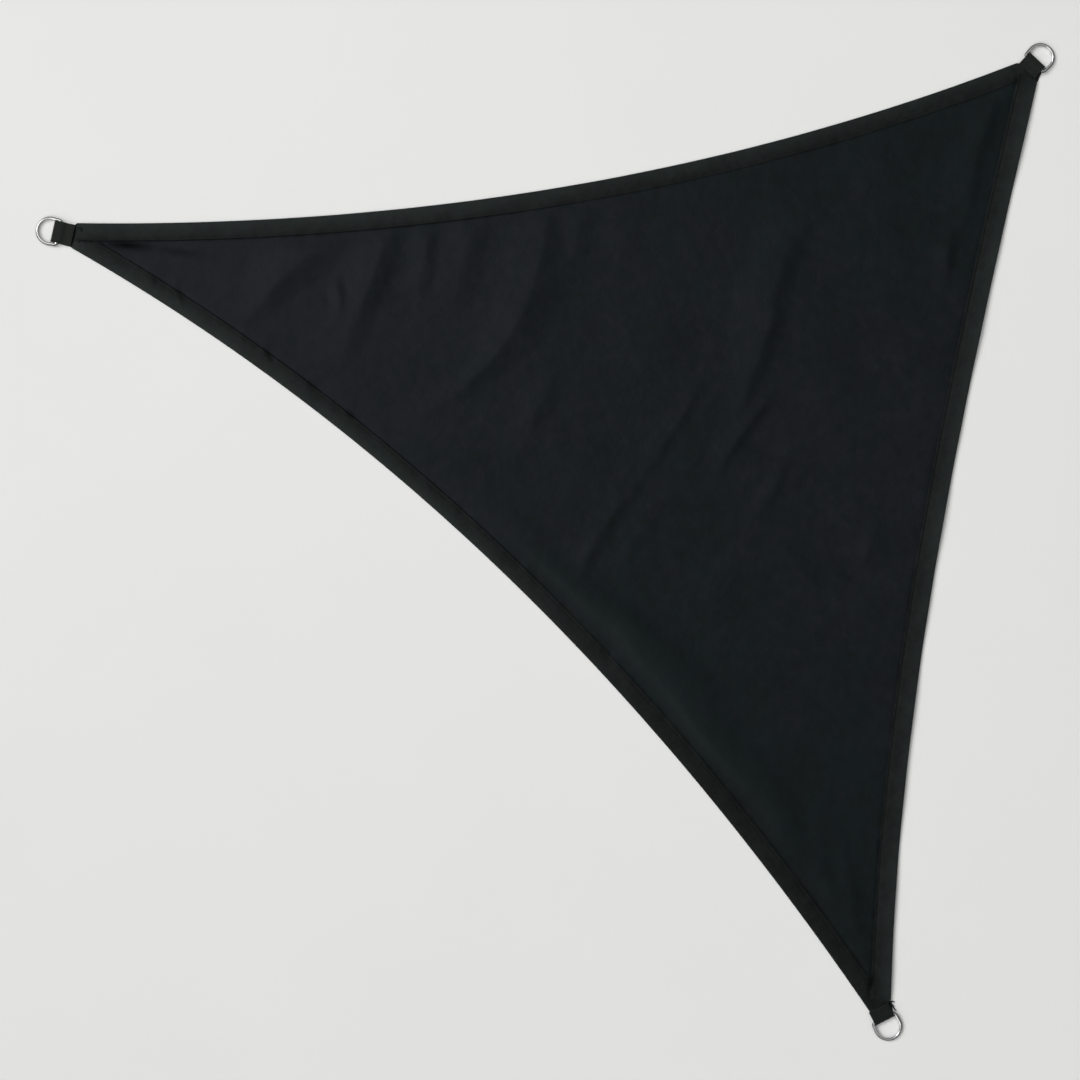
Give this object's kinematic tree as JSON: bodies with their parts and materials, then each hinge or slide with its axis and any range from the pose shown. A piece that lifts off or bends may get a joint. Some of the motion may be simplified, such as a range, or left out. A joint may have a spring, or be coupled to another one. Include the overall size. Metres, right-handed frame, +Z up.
{
  "type": "shade sail",
  "caption": "Triangular shade sail of black cloth with concave hemmed edges and a webbing tab with a steel D ring at each corner, laid out flat.",
  "frame": {"origin": "on the surface the sail lies on, under the middle of the sail's box", "axes": "+Z up out of the laid sail's upper face; +X right, along the upper edge from the left corner to the upper right one; +Y away from the lower corner"},
  "size_m": [2.0361, 1.9938, 0.0107],
  "materials": {
    "cloth": "matte, closely woven",
    "webbing": "matte, ribbed weave",
    "ring": "polished"
  },
  "bodies": {
    "root": {"sail": "cloth", "tab_left": "webbing", "tab_upper": "webbing", "tab_lower": "webbing", "ring_left": "ring", "ring_upper": "ring", "ring_lower": "ring"}
  },
  "joints": []
}
